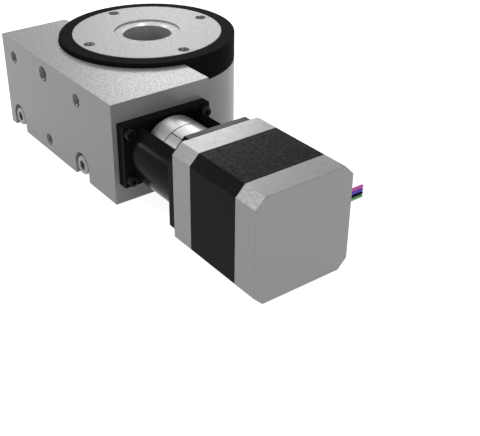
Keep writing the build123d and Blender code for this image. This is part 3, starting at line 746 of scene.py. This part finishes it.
floor_paper = bpy.data.materials.new("floor paper")
floor_paper.use_nodes = True
paper = floor_paper.node_tree
paper.nodes.clear()
matt = paper.nodes.new("ShaderNodeBsdfDiffuse")
matt.inputs["Color"].default_value = (*grey(FLOOR_COLOUR), 1)
seen = paper.nodes.new("ShaderNodeMath")
seen.operation = "MULTIPLY"
seen.inputs[1].default_value = FLOOR_GLOW
glow = paper.nodes.new("ShaderNodeEmission")
both = paper.nodes.new("ShaderNodeAddShader")
out = paper.nodes.new("ShaderNodeOutputMaterial")
paper.links.new(background_ray(paper), seen.inputs[0])
paper.links.new(seen.outputs[0], glow.inputs["Strength"])
paper.links.new(matt.outputs[0], both.inputs[0])
paper.links.new(glow.outputs[0], both.inputs[1])
paper.links.new(both.outputs[0], out.inputs["Surface"])
floor_mesh.materials.append(floor_paper)
print("floor", FLOOR_SIZE, "m")

# %% World
WORLD_LIGHT, WORLD_SEEN = 0.28, 1.0
world = bpy.data.worlds.new("studio")
bpy.context.scene.world = world
world.use_nodes = True
sky = world.node_tree
strength = sky.nodes.new("ShaderNodeMapRange")
strength.inputs["To Min"].default_value = WORLD_LIGHT
strength.inputs["To Max"].default_value = WORLD_SEEN
sky.links.new(background_ray(sky), strength.inputs["Value"])
sky.nodes["Background"].inputs["Color"].default_value = (1, 1, 1, 1)
sky.links.new(strength.outputs["Result"], sky.nodes["Background"].inputs["Strength"])
print("world light", WORLD_LIGHT, "and", WORLD_SEEN, "where it is seen")

# %% [markdown]
# Six soft lamps light the part, each placed where its mirror image falls on a face that is bright in the
# photograph. The back lamp draws the sheen over the tops, the coupling lamp the bright band on the coupling, the
# chamfer lamp the light left chamfers, and the strip lamp the streak along the black tube. The front and top lamps
# are weak and fill in the block's front and the plate.

# %% Lamps
MIDDLE = Vector((-10.0, -50.0, 25.0)) * MM


def soft_lamp(name, place, size, power):
    """A square area lamp at place that points at the part's middle."""
    lamp = bpy.data.lights.new(name, "AREA")
    lamp.size = size
    lamp.energy = power
    holder = bpy.data.objects.new(name, lamp)
    holder.location = place
    holder.rotation_euler = (MIDDLE - Vector(place)).to_track_quat("-Z", "Y").to_euler()
    bpy.context.scene.collection.objects.link(holder)
    print(name, power, "W")


soft_lamp("back lamp", (0.49, 0.72, 0.43), 0.22, 1.35)
soft_lamp("coupling lamp", (0.18, 0.69, 0.66), 0.3, 0.7)
soft_lamp("chamfer lamp", (-0.595, 0.53, 0.62), 0.16, 0.95)
soft_lamp("strip lamp", (-0.66, 0.7, 0.07), 0.09, 0.3)
soft_lamp("front lamp", (-0.25, -0.8, 0.14), 0.3, 0.8)
soft_lamp("top lamp", (0.05, -0.35, 0.75), 0.2, 0.4)

# %% [markdown]
# ## Camera
# The camera was worked out from edges and ellipses of the photograph: where it looks, how far off it stands, and
# its focal length in pixels. Depth of field stays off. The shift moves the frame over the object without turning
# the camera, and is kept small.

# %% Camera at the photograph's viewpoint
IMAGE_WIDTH, IMAGE_HEIGHT = 480, 436
FOCAL_PIXELS = 879.66
CENTRE_X, CENTRE_Y = 205.0, 192.0
YAW, PITCH, ROLL = math.radians(35.1278), math.radians(-30.1466), math.radians(-0.5145)
OFFSET = Vector((-26.2187, 33.8316, 426.2682)) * MM
SENSOR_WIDTH, CLIP_START = 36.0, 0.01

forward = Vector((math.sin(YAW) * math.cos(PITCH), math.cos(YAW) * math.cos(PITCH), math.sin(PITCH)))
level = Vector((math.cos(YAW), -math.sin(YAW), 0.0))
upward = level.cross(forward)
right = level * math.cos(ROLL) + upward * math.sin(ROLL)
up = upward * math.cos(ROLL) - level * math.sin(ROLL)

camera_data = bpy.data.cameras.new("camera")
camera_data.sensor_width = SENSOR_WIDTH
camera_data.lens = FOCAL_PIXELS / IMAGE_WIDTH * SENSOR_WIDTH
camera_data.shift_x = (IMAGE_WIDTH / 2 - CENTRE_X) / IMAGE_WIDTH
camera_data.shift_y = (CENTRE_Y - IMAGE_HEIGHT / 2) / IMAGE_WIDTH
camera_data.clip_start = CLIP_START
camera = bpy.data.objects.new("camera", camera_data)
camera.matrix_world = Matrix((right, up, -forward)).transposed().to_4x4()
camera.location = -(right * OFFSET.x + up * OFFSET.y + forward * OFFSET.z)
bpy.context.scene.collection.objects.link(camera)
bpy.context.scene.camera = camera
bpy.context.scene.view_settings.view_transform = "Standard"
print("camera at", [round(v, 4) for v in camera.location], "lens", round(camera_data.lens, 2))
